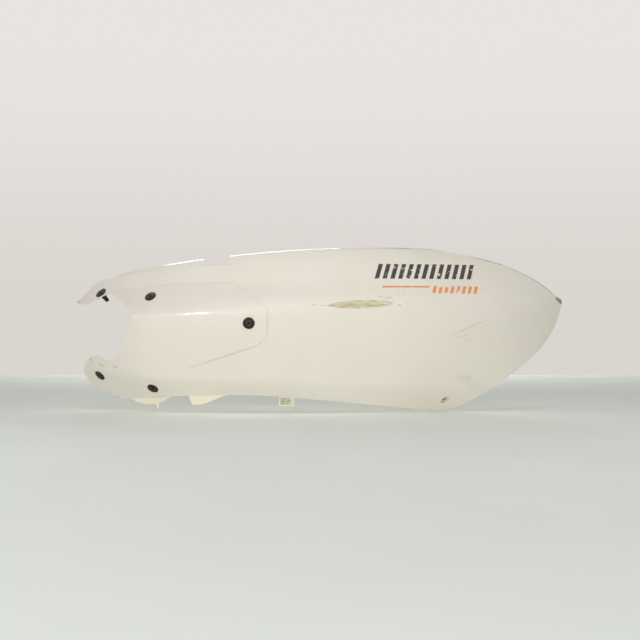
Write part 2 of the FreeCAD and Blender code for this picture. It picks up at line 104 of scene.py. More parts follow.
SMUDGES = (
    ((322, -83.5), (22, 13)),
    ((334, -96), (20, 8)),
    ((202.4, 35.5), (13, 6)),
    ((-206.5, -67.4), (7, 5)),
    ((-106.7, -81.5), (5, 3)),
)
EAR_MARKS = (
    ((-251, -55.5), (-247, -60.5), 0.9),
    ((-235.3, -62.1), (-226.8, -68.1), 0.9),
    ((-208, -66), (-205, -68.5), 0.9),
    ((-275.5, 33), (-269.5, 29), 1.5),
)
# Lines of painted shade along the shield's lower edge, round its rear end and up to the shoulder, and lines
# of dirt and painted shade on the panel's top edge and in its notch.
LOWER_SHADE = (
    ((-92, -68), (16, -32.4), 1.2),
    ((13, -33.4), (20, -26), 0.8),
)
SHIELD_SHADE = (
    ((18, -28), (27.5, -18.5), 0.8),
    ((26.6, -22), (26.8, 21), 0.6),
    ((28, 18), (-25, 60), 0.6),
    ((-165, 56.2), (-22, 58.3), 0.7),
)
EDGE_DIRT_AND_SHADE = (
    ((198, 111), (242, 110.2), 1.1),
    ((-90, 86.2), (-30, 85.6), 0.9),
    ((325, 100.6), (382, 86.6), 0.8),
    ((376, 88.6), (416, 73), 0.8),
    ((410, 75.8), (443, 60.2), 0.8),
    ((438, 63), (470, 40.5), 0.8),
)
# Worn slanted stripes behind the crest: dark ones in a row, a thin orange line and orange ones under them.
# Each has its lower and upper height and its front and rear end, and the stripes how far apart they are. Then
# come their slant, the share of each step that is printed and how soft their edges are.
DARK_STRIPES = (64, 86, 161, 310.5, 11.5)
ORANGE_STRIPES = (42.5, 53.5, 252, 324, 9)
ORANGE_LINE = (51, 53.5, 178, 248)
STRIPE_SLANT = 0.3
STRIPE_SHARE = 0.56
STRIPE_SOFTNESS = 0.35
# Painted shade in the empty screw recess, and on the bare plastic of its hole.
SCREW_RECESS_SHADE = ((286.6, -121.8), (297.4, -113.4), 3.4)
SCREW_SHADE = (
    ((289.6, -120.6), (2.6, 1.5)),
    ((293.2, -114.3), (1.9, 1.9)),
    ((288.4, -116.6), (1.4, 1.2)),
)
HOLE_SHADE = (((291.3, -116.4), (3.2, 2.8)),)
# Greenish dirt and painted shade in the clip socket.
SOCKET_DIRT_AND_SHADE = (
    ((52.5, -119), (8.5, 5)),
    ((49, -117), (4, 3.5)),
)
# Middles of the rivet heads, and half the size of the painted shade in the recess of each.
RIVET_HEADS = ((-234.5, 45), (-148, 38.5), (0, -1), (-236.5, -82), (-149, -99.5))
RECESS_SHADE_SIZE = (3.0, 2.5)

# How far each mark's colour covers what is under it.
SHIELD_SHADE_COVER = 0.16
LOWER_SHADE_COVER = 0.28
EDGE_DIRT_AND_SHADE_COVER = 0.55
SPECK_COVER = 0.6
SCRATCH_COVER = 0.28
RECESS_SHADE_COVER = 0.3
SCREW_SHADE_COVER = 0.9
CHIP_COVER = 0.8
EAR_MARK_COVER = 0.5
HOLE_SHADE_COVER = 0.9
SOCKET_DIRT_AND_SHADE_COVER = 0.8
# How dull the paint is where it is marked. The clear coat is gone by the same share.
SCUFF_DULL = 0.75
SCRATCH_DULL = 0.6
CHIP_DULL = 0.85
PRINT_DULL = 0.42
# How deep the marks are cut, in millimetres. The scuff's grain adds to its depth.
SCUFF_DEPTH = 0.1
SCUFF_GRAIN_DEPTH = 0.5
SCRATCH_DEPTH = 0.12
CHIP_DEPTH = 0.4
# How much the paint's roughness varies, how rough the other finishes are, with the least and the most where
# that varies, and how strongly they shine.
GLOSS_CHANGE = 0.08
COAT_ROUGHNESS = 0.05
IVORY_ROUGHNESS = (0.48, 0.62)
NYLON_ROUGHNESS = (0.4, 0.55)
NYLON_SHINE = 0.22
FLOOR_ROUGHNESS = 0.7
FLOOR_SHINE = 0.2
# The second tone of each clouded colour, as a share of the first.
IVORY_DEEPER = 0.92
NYLON_LIGHTER = 1.8
FLOOR_PALER = 1.03
# How fine the noise is that tears the marks, to the millimetre, and how coarse the broad part of a grain is.
TEAR_SCALE = 0.55
BROAD_GRAIN = 0.22

# Where the unpainted tabs hang from the lower edge: front and rear end of each root.
TABS = (
    ((-190.5, -118.3), (-123.5, -112.9)),
    ((-95.5, -111.3), (-37.5, -109.9)),
    ((41, -111.9), (64.5, -113.8)),
)
# How far round a fixing the plastic is bare, and how far in front of the fixing's own place that starts.
RIVET_PAD = 12.5 * MM
RIVET_PAD_FRONT = 3.2 * MM
SCREW_BOSS = 6.5 * MM
SCREW_BOSS_FRONT = 3.5 * MM
# A face that looks back more than this is one of the unpainted back.
BACK_FACING = 0.02


class Lamp(NamedTuple):
    """A rectangular studio light: its place, its target, its width and height, and its beam in degrees."""

    place: tuple
    target: tuple
    size: tuple
    spread: float = 180


# The stage in metres: the floor's height and how far it reaches, the lights, and the cards that only show in
# reflections.
FLOOR_Z = CAD_BOX[0].z
FLOOR_REACH = 2.0
FRONT_LIGHT = Lamp((-0.3, -2.3, 0.29), (0.1, 0.0, 0.0), (2.6, 0.5))
LOW_LIGHT = Lamp((0.0, -1.75, FLOOR_Z + 0.12), (0.1, 0.0, 0.06), (1.6, 0.2))
RIDGE_CARD = Lamp((-0.485, -1.6, 0.3), (-0.08, 0.0, 0.02), (0.3, 0.45))
RIM_CARD = Lamp((-0.4, 0.92, 1.5), (-0.4, 0.92, 0.0), (1.1, 0.6))
FLOOR_LIGHT = Lamp((0.1, -0.45, 1.3), (0.1, -0.45, 0.0), (2.6, 0.4), 75)
BACK_LIGHT = Lamp((0.1, 1.8, 0.45), (0.1, 0.0, 0.0), (1.6, 0.5))
# The colour of the fill, and between which rises of the line of sight the background changes its tone.
FILL_COLOUR = (1.0, 0.99, 0.975)
BACKGROUND_RISE = (0.0, 0.25)
# The camera's sensor in millimetres.
SENSOR_WIDTH = 36.0


def colour_property(name, description, default):
    """A colour that a user may change."""
    return bpy.props.FloatVectorProperty(
        name=name, description=description, subtype="COLOR", size=3, min=0, max=1, default=default)


def share_property(name, description, default):
    """A plain factor from nothing to all."""
    return bpy.props.FloatProperty(
        name=name, description=description, subtype="FACTOR", min=0, max=1, default=default)


def length_property(name, description, default):
    """A length in metres."""
    return bpy.props.FloatProperty(name=name, description=description, unit="LENGTH", default=default)


def power_property(name, description, default):
    """A light's power in watts."""
    return bpy.props.FloatProperty(name=name, description=description, unit="POWER", default=default)


class PanelSettings(bpy.types.PropertyGroup):
    """Paint, wear and bare plastic of the moulding."""

    cream: colour_property("Cream", "Main colour of the paint", (0.76, 0.715, 0.635))
    cream_shade: colour_property("Cream shade", "Where the paint has yellowed", (0.745, 0.695, 0.612))
    ivory: colour_property("Ivory", "Bare plastic of the back and the tabs", (0.78, 0.735, 0.58))
    scuff: colour_property("Scuff", "Plastic laid bare by the long scuff", (0.45, 0.37, 0.215))
    # This colour is also the painted shade along the shield's edges, on the top edge, in the notch and in the
    # screw recess and hole.
    grime_and_shade: colour_property("Grime", "Dirt rubbed into chips and scratches", (0.20, 0.175, 0.14))
    dust: colour_property("Dust", "Dust on the bare back", (0.40, 0.36, 0.29))
    # This colour paints greenish dirt and painted shade in the clip socket.
    socket_dirt_and_shade: colour_property("Moss", "Greenish dirt in the clip socket", (0.21, 0.25, 0.085))
    stripe_dark: colour_property("Dark stripes", "Worn print of the dark stripes", (0.030, 0.027, 0.025))
    stripe_orange: colour_property("Orange stripes", "Worn orange line and stripes", (0.78, 0.27, 0.07))
    gloss: share_property("Gloss roughness", "Roughness of the paint under its clear coat", 0.42)
    edge_round: length_property("Edge rounding", "Radius of the moulding's edges", 0.45 * MM)


class RivetSettings(bpy.types.PropertyGroup):
    """Black nylon of the rivets."""

    black: colour_property("Black", "Nylon of the rivet bodies", (0.024, 0.016, 0.009))
    pin_black: colour_property("Pin black", "Nylon of the centre pins", (0.056, 0.048, 0.042))
    dust: colour_property("Dust", "Dust in the corners of the heads", (0.22, 0.205, 0.18))
    # This colour is painted shade in the middle of each head's cross recess.
    recess: colour_property("Recess", "Dark middle of the cross recess", (0.006, 0.005, 0.004))
    edge_round: length_property("Edge rounding", "Radius of the rivets' edges", 0.22 * MM)


class StageSettings(bpy.types.PropertyGroup):
    """Floor, background, light and camera."""

    floor: colour_property("Floor", "Pale floor", (0.90, 0.94, 0.88))
    background_low: colour_property("Background below", "Background at eye level", (0.70, 0.665, 0.625))
    background_high: colour_property("Background above", "Background higher up", (0.81, 0.775, 0.75))
    floor_depth: length_property("Floor depth", "From the panel's origin to the floor's far end", 1.12)
    camera_distance: length_property("Camera distance", "From the panel's origin to the camera", 1.5067)
    camera_x: length_property("Camera along", "Where the camera stands along the panel", 0.1031)
    camera_z: length_property("Camera height", "Height of the camera over the panel's origin", 0.0036)
    lens: bpy.props.FloatProperty(
        name="Lens", description="Focal length in millimetres on a 36 mm sensor", default=58.35)
    front_power: power_property("Front light", "Power of the broad light behind the camera", 31.0)
    low_power: power_property("Low light", "Power of the light close to the floor", 4.5)
    ridge_power: power_property("Ridge card", "Power of the card before the front end", 7.0)
    rim_power: power_property("Rim card", "Power of the card overhead", 11.0)
    floor_power: power_property("Floor light", "Power of the light on the floor before the panel", 2.1)
    back_power: power_property("Back light", "Power of the light behind the panel", 14.0)
    fill: share_property("Fill", "Strength of the even light from all around", 0.25)


class Nodes:
    """Adds nodes to one shader tree, with each input set or linked by its name or place."""

    def __init__(self, tree):
        self.tree = tree

    def feed(self, node, inputs):
        """Set a node's inputs, or link them where another node's output is given."""
        for key, value in inputs.items():
            if isinstance(value, bpy.types.NodeSocket):
                self.tree.links.new(value, node.inputs[key])
            else:
                node.inputs[key].default_value = value

    def add(self, kind, inputs=None, **settings):
        node = self.tree.nodes.new(kind)
        for name, value in settings.items():
            setattr(node, name, value)
        self.feed(node, inputs or {})
        return node

    def math(self, operation, *values, clamp=False):
        inputs = dict(enumerate(values))
        return self.add("ShaderNodeMath", inputs, operation=operation, use_clamp=clamp).outputs[0]

    def times(self, first, second):
        """Two values or masks multiplied."""
        return self.math("MULTIPLY", first, second)

    def vector(self, operation, *values, out=0):
        inputs = dict(enumerate(values))
        return self.add("ShaderNodeVectorMath", inputs, operation=operation).outputs[out]

    def scaled(self, vector, factor):
        """A vector made longer or shorter."""
        return self.add("ShaderNodeVectorMath", {0: vector, "Scale": factor}, operation="SCALE").outputs[0]

    def drawn_out(self, point, x=1.0, z=1.0):
        """A point for noise that is drawn out along X or Z, where the share is less than one."""
        return self.vector("MULTIPLY", point, (x, 1.0, z))

    def noise(self, point, scale, detail=2.0, roughness=0.5, out="Fac"):
        inputs = {"Vector": point, "Scale": scale, "Detail": detail, "Roughness": roughness}
        return self.add("ShaderNodeTexNoise", inputs).outputs[out]

    def step(self, value, low, high, start=0.0, end=1.0):
        """A smooth step of the value, from the start at low to the end at high."""
        inputs = {"Value": value, "From Min": low, "From Max": high, "To Min": start, "To Max": end}
        return self.add("ShaderNodeMapRange", inputs, interpolation_type="SMOOTHSTEP").outputs["Result"]

    def mix(self, share, first, second):
        """Two colours, mixed by a mask. The node's inputs 6 and 7 and its output 2 are its colours."""
        return self.add("ShaderNodeMix", {0: share, 6: first, 7: second}, data_type="RGBA").outputs[2]

    def group(self, tree, inputs):
        """The first output of a shader group."""
        return self.add("ShaderNodeGroup", inputs, node_tree=tree).outputs[0]

    def greatest(self, values):
        """The greatest of several masks."""
        result = values[0]
        for value in values[1:]:
            result = self.math("MAXIMUM", result, value)
        return result


class Marks:
    """Draws marks in side view on one material, each kind of them as one mask."""

    def __init__(self, nodes, effects, point):
        self.nodes = nodes
        self.effects = effects
        self.point = point

    def strokes(self, places, softness, ragged, blunt=0.5):
        """Several marks along lines."""
        masks = []
        for start, end, half_width in places:
            masks.append(self.nodes.group(self.effects["stroke"], {
                "Point": self.point, "From": flat_place(*start), "To": flat_place(*end),
                "Half width": half_width, "Softness": softness, "Ragged": ragged, "Blunt": blunt,
            }))
        return self.nodes.greatest(masks)

    def ovals(self, places, softness, ragged):
        """Several ovals."""
        masks = []
        for centre, (half_x, half_z) in places:
            masks.append(self.nodes.group(self.effects["oval"], {
                "Point": self.point, "Centre": flat_place(*centre), "Half size": (half_x, 1.0, half_z),
                "Softness": softness, "Ragged": ragged,
            }))
        return self.nodes.greatest(masks)


def opaque(colour):
    """A colour with full alpha."""
    return (*colour, 1.0)


def toned(colour, factor):
    """A colour made darker or lighter, and no lighter than white."""
    return tuple(min(1.0, factor * part) for part in colour)


def flat_place(x, z):
    """A place in side view as a vector in millimetres."""
    return (x, 0.0, z)


def new_group(name, inputs, outputs):
    """An empty shader group with named sockets, and its input and output nodes."""
    tree = bpy.data.node_groups.new(name, "ShaderNodeTree")
    for label, kind, default in inputs:
        socket = tree.interface.new_socket(label, in_out="INPUT", socket_type=f"NodeSocket{kind}")
        if default is not None:
            socket.default_value = default
    for label, kind in outputs:
        tree.interface.new_socket(label, in_out="OUTPUT", socket_type=f"NodeSocket{kind}")
    nodes = Nodes(tree)
    return nodes, nodes.add("NodeGroupInput").outputs, nodes.add("NodeGroupOutput").inputs


def side_view(nodes, point, ragged):
    """A point seen from the side, shaken by noise so that marks have torn edges."""
    shake = nodes.noise(point, TEAR_SCALE, detail=3, out="Color")
    centred = nodes.vector("SUBTRACT", shake, (0.5, 0.5, 0.5))
    shaken = nodes.vector("ADD", point, nodes.scaled(centred, ragged))
    return nodes.vector("MULTIPLY", shaken, (1.0, 0.0, 1.0))


def make_stroke_group(name):
    """A mark along a line in side view, widest in the middle and pointed at both ends."""
    nodes, given, result = new_group(name, [
        ("Point", "Vector", None), ("From", "Vector", None), ("To", "Vector", None),
        ("Half width", "Float", 1.0), ("Softness", "Float", 0.5),
        ("Ragged", "Float", 0.0), ("Blunt", "Float", 0.5),
    ], [("Mask", "Float")])
    point = side_view(nodes, given["Point"], given["Ragged"])
    reach = nodes.vector("SUBTRACT", point, given["From"])
    line = nodes.vector("SUBTRACT", given["To"], given["From"])
    along = nodes.vector("DOT_PRODUCT", reach, line, out="Value")
    length = nodes.vector("DOT_PRODUCT", line, line, out="Value")
    share = nodes.math("DIVIDE", along, length, clamp=True)
    away = nodes.vector("DISTANCE", reach, nodes.scaled(line, share), out="Value")
    rest = nodes.math("SUBTRACT", 1.0, share)
    # The two shares multiplied come to a quarter in the middle, so that four times that is one.
    bulge = nodes.times(nodes.times(share, rest), 4.0)
    taper = nodes.math("POWER", bulge, given["Blunt"])
    half = nodes.times(taper, given["Half width"])
    inside = nodes.math("SUBTRACT", half, away)
    edge = nodes.math("DIVIDE", inside, given["Softness"])
    nodes.tree.links.new(nodes.step(edge, -0.5, 0.5), result["Mask"])
    return nodes.tree


def make_oval_group(name):
    """A soft or torn oval in side view."""
    nodes, given, result = new_group(name, [
        ("Point", "Vector", None), ("Centre", "Vector", None), ("Half size", "Vector", (1, 1, 1)),
        ("Softness", "Float", 0.5), ("Ragged", "Float", 0.0),
    ], [("Mask", "Float")])
    point = side_view(nodes, given["Point"], given["Ragged"])
    reach = nodes.vector("SUBTRACT", point, given["Centre"])
    shares = nodes.vector("DIVIDE", reach, given["Half size"])
    away = nodes.vector("LENGTH", shares, out="Value")
    low = nodes.math("SUBTRACT", 1.0, given["Softness"])
    nodes.tree.links.new(nodes.step(away, 1.0, low), result["Mask"])
    return nodes.tree


def make_grain_group(name):
    """Fine moulded or sprayed grain, as a height in millimetres."""
    nodes, given, result = new_group(name, [
        ("Point", "Vector", None), ("Per millimetre", "Float", 1.0), ("Depth", "Float", 0.01),
    ], [("Height", "Float")])
    fine = nodes.noise(given["Point"], given["Per millimetre"], detail=2)
    broad = nodes.noise(given["Point"], nodes.times(given["Per millimetre"], BROAD_GRAIN), detail=1)
    both = nodes.math("ADD", fine, broad)
    nodes.tree.links.new(nodes.times(both, given["Depth"]), result["Height"])
    return nodes.tree


def make_dust_group(name):
    """Dust that lies where a surface looks up, broken up by noise."""
    nodes, given, result = new_group(name, [
        ("Point", "Vector", None), ("Normal", "Vector", None), ("Amount", "Float", 0.5),
    ], [("Mask", "Float")])
    up = nodes.vector("DOT_PRODUCT", given["Normal"], (0.0, 0.0, 1.0), out="Value")
    lying = nodes.step(up, -0.5, 0.9)
    clouds = nodes.noise(given["Point"], scale=0.07, detail=4, roughness=0.65)
    broken = nodes.step(clouds, 0.35, 0.75)
    both = nodes.times(lying, broken)
    nodes.tree.links.new(nodes.times(both, given["Amount"]), result["Mask"])
    return nodes.tree


# The node groups that the materials share, by the name of each and what makes it.
EFFECTS = {
    "stroke": ("Stroke mark", make_stroke_group),
    "oval": ("Oval mark", make_oval_group),
    "grain": ("Surface grain", make_grain_group),
    "dust": ("Settled dust", make_dust_group),
}


def make_effects():
    """The shared node groups, each built once."""
    return {key: bpy.data.node_groups.get(name) or make(name) for key, (name, make) in EFFECTS.items()}


def new_material(name):
    """A material with one Principled shader, its nodes, its point in millimetres and its normal."""
    material = bpy.data.materials.new(name)
    material.use_nodes = True
    material.node_tree.nodes.clear()
    nodes = Nodes(material.node_tree)
    shader = nodes.add("ShaderNodeBsdfPrincipled")
    nodes.add("ShaderNodeOutputMaterial", {"Surface": shader.outputs["BSDF"]})
    place = nodes.add("ShaderNodeTexCoord").outputs
    return material, nodes, shader, nodes.scaled(place["Object"], 1 / MM), place["Normal"]


def set_shader(nodes, shader, **inputs):
    """Set or link the Principled shader's inputs, named with underscores for spaces."""
    nodes.feed(shader, {name.replace("_", " "): value for name, value in inputs.items()})


def bump(nodes, height):
    """A bump from a height in millimetres."""
    inputs = {"Height": height, "Distance": MM, "Strength": 1.0}
    return nodes.add("ShaderNodeBump", inputs).outputs["Normal"]


def band_mask(nodes, point, low, high, front, rear):
    """A slanted block in side view between two heights and two ends, and the place along it."""
    soft = STRIPE_SOFTNESS
    parts = nodes.add("ShaderNodeSeparateXYZ", {0: point}).outputs
    height = parts["Z"]
    along = nodes.math("SUBTRACT", parts["X"], nodes.times(height, STRIPE_SLANT))
    over_low = nodes.step(height, low - soft, low + soft)
    under_high = nodes.step(height, high + soft, high - soft)
    past_front = nodes.step(along, front - soft, front + soft)
    before_rear = nodes.step(along, rear + soft, rear - soft)
    rise = nodes.times(over_low, under_high)
    run = nodes.times(past_front, before_rear)
    return nodes.times(rise, run), along


def stripe_mask(nodes, point, low, high, front, rear, apart):
    """A block of slanted stripes."""
    block, along = band_mask(nodes, point, low, high, front, rear)
    turn = nodes.math("FRACT", nodes.math("DIVIDE", along, apart))
    away = nodes.math("ABSOLUTE", nodes.math("SUBTRACT", turn, 0.5))
    half = STRIPE_SHARE / 2
    soft = STRIPE_SOFTNESS / apart
    return nodes.times(block, nodes.step(away, half + soft, half - soft))


def smudge_mask(nodes, marks):
    """Faint streaky smudges."""
    streaks = nodes.noise(nodes.drawn_out(marks.point, x=0.3), scale=0.25, detail=3)
    cover = nodes.step(streaks, 0.4, 0.7, 0.05, 0.2)
    return nodes.times(marks.ovals(SMUDGES, softness=0.9, ragged=9.0), cover)


def edge_shade_and_dirt_mask(nodes, marks):
    """Patchy painted shade along the edges of the shield, and patchy dirt and painted shade on the panel's
    top edge and in its notch.
    """
    shield = marks.strokes(SHIELD_SHADE, softness=1.6, ragged=0.6, blunt=0.15)
    lower = marks.strokes(LOWER_SHADE, softness=2.4, ragged=0.6, blunt=0.3)
    edge = marks.strokes(EDGE_DIRT_AND_SHADE, softness=1.2, ragged=0.6, blunt=0.2)
    # Painted shade along the shield's edges, and dirt with painted shade on the top edge and in the notch.
    dirt = nodes.greatest([nodes.times(shield, SHIELD_SHADE_COVER), nodes.times(lower, LOWER_SHADE_COVER),
                           nodes.times(edge, EDGE_DIRT_AND_SHADE_COVER)])
    patches = nodes.step(nodes.noise(marks.point, scale=0.06, detail=3), 0.3, 0.65, 0.35, 1.0)
    return nodes.times(dirt, patches)


def print_masks(nodes, point):
    """The worn print: the dark stripes, and the orange line with its stripes."""
    worn = nodes.noise(nodes.drawn_out(point, x=0.5), scale=0.16, detail=5, roughness=0.6)
    kept = nodes.step(worn, 0.64, 0.58)
    dark = stripe_mask(nodes, point, *DARK_STRIPES)
    line, _ = band_mask(nodes, point, *ORANGE_LINE)
    orange = nodes.greatest([stripe_mask(nodes, point, *ORANGE_STRIPES), line])
    return nodes.times(dark, kept), nodes.times(orange, kept)


def make_paint(settings, effects):
    """Cream paint under a clear coat, with its scuff, scratches, chips, dirt, worn stripes, and painted shade
    along edges and in the screw recess.
    """
    material, nodes, shader, point, _ = new_material("cream_paint")
    marks = Marks(nodes, effects, point)
    grime_and_shade = opaque(settings.grime_and_shade)
    clouds = nodes.noise(point, scale=0.012, detail=3)
    colour = nodes.mix(nodes.step(clouds, 0.35, 0.7), opaque(settings.cream), opaque(settings.cream_shade))
    colour = nodes.mix(smudge_mask(nodes, marks), colour, grime_and_shade)
    # Painted shade along the shield's edges, and dirt with painted shade on the top edge and in the notch.
    colour = nodes.mix(edge_shade_and_dirt_mask(nodes, marks), colour, grime_and_shade)
    dark, orange = print_masks(nodes, point)
    colour = nodes.mix(dark, colour, opaque(settings.stripe_dark))
    colour = nodes.mix(orange, colour, opaque(settings.stripe_orange))

    scuff = marks.strokes([SCUFF], softness=0.7, ragged=1.6, blunt=0.6)
    grain = nodes.noise(nodes.drawn_out(point, x=0.06), scale=0.9, detail=4)
    scuff_colour = nodes.mix(nodes.step(grain, 0.3, 0.75), opaque(settings.scuff), opaque(settings.ivory))
    colour = nodes.mix(scuff, colour, scuff_colour)
    lines = marks.strokes(SCUFF_LINES, softness=0.8, ragged=1.5)
    specks = marks.ovals(SCUFF_SPECKS, softness=0.6, ragged=2.0)
    colour = nodes.mix(nodes.times(nodes.greatest([lines, specks]), SPECK_COVER), colour, grime_and_shade)

    scratches = marks.strokes(SCRATCHES, softness=1.6, ragged=0.9)
    colour = nodes.mix(nodes.times(scratches, SCRATCH_COVER), colour, grime_and_shade)
    # Painted shade in the empty screw recess and its dark pockets.
    recess = nodes.times(marks.strokes([SCREW_RECESS_SHADE], softness=2.0, ragged=0.8, blunt=0.25), RECESS_SHADE_COVER)
    pockets = nodes.times(marks.ovals(SCREW_SHADE, softness=0.7, ragged=0.8), SCREW_SHADE_COVER)
    colour = nodes.mix(nodes.greatest([recess, pockets]), colour, grime_and_shade)
    chips = marks.strokes(TAIL_CHIP, softness=0.9, ragged=3.5)
    ears = marks.strokes(EAR_MARKS, softness=0.8, ragged=1.5)
    dirty = nodes.greatest([nodes.times(chips, CHIP_COVER), nodes.times(ears, EAR_MARK_COVER)])
    colour = nodes.mix(dirty, colour, grime_and_shade)

    dull = nodes.greatest([nodes.times(scuff, SCUFF_DULL), nodes.times(scratches, SCRATCH_DULL),
                           nodes.times(chips, CHIP_DULL), nodes.times(dark, PRINT_DULL)])
    change = nodes.noise(point, scale=0.03, detail=3)
    gloss = nodes.step(change, 0.3, 0.8, settings.gloss, settings.gloss + GLOSS_CHANGE)
    peel = nodes.group(effects["grain"], {"Point": point, "Per millimetre": 0.45, "Depth": 0.004})
    scuff_depth = nodes.math("MULTIPLY_ADD", grain, SCUFF_GRAIN_DEPTH, SCUFF_DEPTH)
    cut = nodes.math("ADD", nodes.times(scuff, scuff_depth), nodes.times(scratches, SCRATCH_DEPTH))
    height = nodes.math("SUBTRACT", peel, nodes.math("ADD", cut, nodes.times(chips, CHIP_DEPTH)))
    set_shader(nodes, shader, Base_Color=colour, Roughness=nodes.math("MAXIMUM", gloss, dull),
               Coat_Weight=nodes.math("SUBTRACT", 1.0, dull, clamp=True), Coat_Roughness=COAT_ROUGHNESS,
               Normal=bump(nodes, height))
    return material


def make_bare_plastic(settings, effects):
    """Unpainted ivory plastic with moulded grain, flow clouds, settled dust, painted shade in the screw hole,
    and greenish dirt and painted shade in the clip socket.
    """
    material, nodes, shader, point, normal = new_material("bare_ivory")
    marks = Marks(nodes, effects, point)
    clouds = nodes.noise(nodes.drawn_out(point, z=0.5), scale=0.02, detail=4)
    deep = toned(settings.ivory, IVORY_DEEPER)
    colour = nodes.mix(nodes.step(clouds, 0.3, 0.75), opaque(settings.ivory), opaque(deep))
    dust = nodes.group(effects["dust"], {"Point": point, "Normal": normal, "Amount": 0.2})
    colour = nodes.mix(dust, colour, opaque(settings.dust))
    # Painted shade in the screw hole.
    hole = nodes.times(marks.ovals(HOLE_SHADE, softness=0.5, ragged=0.5), HOLE_SHADE_COVER)
    colour = nodes.mix(hole, colour, opaque(settings.grime_and_shade))
    # Greenish dirt and painted shade in the clip socket.
    clumps = nodes.step(nodes.noise(point, scale=0.45, detail=3), 0.42, 0.58)
    socket_dirt_and_shade = nodes.times(marks.ovals(SOCKET_DIRT_AND_SHADE, softness=0.5, ragged=2.0), clumps)
    colour = nodes.mix(nodes.times(socket_dirt_and_shade, SOCKET_DIRT_AND_SHADE_COVER), colour, opaque(settings.socket_dirt_and_shade))
    grain = nodes.group(effects["grain"], {"Point": point, "Per millimetre": 1.6, "Depth": 0.012})
    set_shader(nodes, shader, Base_Color=colour, Roughness=nodes.step(clouds, 0.2, 0.8, *IVORY_ROUGHNESS),
               Normal=bump(nodes, grain))
    return material


def make_nylon(name, black, settings, effects):
    """Satin black nylon with fine grain, a little dust and painted shade in the recesses."""
    material, nodes, shader, point, normal = new_material(name)
    clouds = nodes.noise(point, scale=0.25, detail=3)
    lighter = toned(black, NYLON_LIGHTER)
    colour = nodes.mix(nodes.step(clouds, 0.4, 0.7), opaque(black), opaque(lighter))
    dust = nodes.group(effects["dust"], {"Point": point, "Normal": normal, "Amount": 0.06})
    colour = nodes.mix(dust, colour, opaque(settings.dust))
    # Painted shade in the middle of each head's cross recess.
    recesses = [(middle, RECESS_SHADE_SIZE) for middle in RIVET_HEADS]
    recess = Marks(nodes, effects, point).ovals(recesses, softness=0.4, ragged=0.0)
    colour = nodes.mix(recess, colour, opaque(settings.recess))
    grain = nodes.group(effects["grain"], {"Point": point, "Per millimetre": 2.5, "Depth": 0.01})
    set_shader(nodes, shader, Base_Color=colour, Roughness=nodes.step(clouds, 0.2, 0.8, *NYLON_ROUGHNESS),
               Specular_IOR_Level=NYLON_SHINE, Normal=bump(nodes, grain))
    return material


def make_floor_finish(name, colour):
    """A dull pale floor with faint broad clouds."""
    material, nodes, shader, point, _ = new_material(name)
    clouds = nodes.noise(point, scale=0.004, detail=2)
    paler = toned(colour, FLOOR_PALER)
    tone = nodes.mix(nodes.step(clouds, 0.3, 0.7), opaque(colour), opaque(paler))
    set_shader(nodes, shader, Base_Color=tone, Roughness=FLOOR_ROUGHNESS, Specular_IOR_Level=FLOOR_SHINE)
    return material


def merged_copy(node):
    """A bmesh of a frame node with its loose triangles joined and its sharp edges marked."""
    work = bmesh.new()
    work.from_mesh(frame["nodes"][node].data)
    bmesh.ops.remove_doubles(work, verts=work.verts, dist=MERGE_DISTANCE)
    bmesh.ops.dissolve_degenerate(work, edges=work.edges, dist=MERGE_DISTANCE)
    for face in work.faces:
        face.smooth = True
    for edge in work.edges:
        edge.smooth = edge.calc_face_angle(math.pi) < SHARP_ANGLE
    return work


def place_mesh(work, name, materials):
    """Put a finished bmesh into the scene as an object."""
    mesh = bpy.data.meshes.new(name)
    work.to_mesh(mesh)
    work.free()
    for material in materials:
        mesh.materials.append(material)
    piece = bpy.data.objects.new(name, mesh)
    bpy.context.scene.collection.objects.link(piece)
    return piece


def finish_piece(work, name, node, materials, edge_round):
    """Put a finished bmesh into the scene in place of the frame node, with rounded edges."""
    piece = place_mesh(work, name, materials)
    rounding = piece.modifiers.new("Edge rounding", "BEVEL")
    rounding.width = edge_round
    rounding.segments = EDGE_SEGMENTS
    rounding.limit_method = "ANGLE"
    rounding.angle_limit = SHARP_ANGLE
    rounding.use_clamp_overlap = True
    rounding.harden_normals = True
    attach(piece, "root")
    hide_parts(node)


def round_fixing(point, mount, inward, radius, front):
    """Whether a point lies round a fixing's axis, behind a place a little in front of the fixing's own."""
    reach = point - Vector(mount["pos_m"])
    depth = reach.dot(inward)
    return depth > -front and (reach - inward * depth).length < radius


def near_fixing(point):
    """Whether a point lies in a rivet's pad or hole, or in the boss of the screw hole."""
    for name, mount in MOUNTS.items():
        axis = Vector(mount["axis"])
        if name.endswith("_fixing") and round_fixing(point, mount, axis, RIVET_PAD, RIVET_PAD_FRONT):
            return True
        if name == "rear_screw_hole" and round_fixing(point, mount, -axis, SCREW_BOSS, SCREW_BOSS_FRONT):
            return True
    return False


def in_tab(point):
    """Whether a point lies on one of the tabs, under the line of the tab's root."""
    x = point.x / MM
    for (front, front_z), (rear, rear_z) in TABS:
        share = (x - front) / (rear - front)
        if 0 < share < 1 and point.z / MM < front_z + share * (rear_z - front_z):
            return True
    return False


def is_bare(face):
    """Whether a face of the moulding is unpainted: the back, the rivet pads and the tabs."""
    middle = face.calc_center_median()
    return face.normal.y > BACK_FACING or near_fixing(middle) or in_tab(middle)


class SIDEPANEL_OT_moulding(bpy.types.Operator):
    """Make the painted moulding with its bare back"""

    bl_idname = "side_panel.moulding"
    bl_label = "Moulding"

    def execute(self, context):
        settings = context.scene.side_panel
        effects = make_effects()
        work = merged_copy("side_panel")
        for face in work.faces:
            face.material_index = 1 if is_bare(face) else 0
        materials = [make_paint(settings, effects), make_bare_plastic(settings, effects)]
        finish_piece(work, "panel_moulding", "side_panel", materials, settings.edge_round)
        return {"FINISHED"}


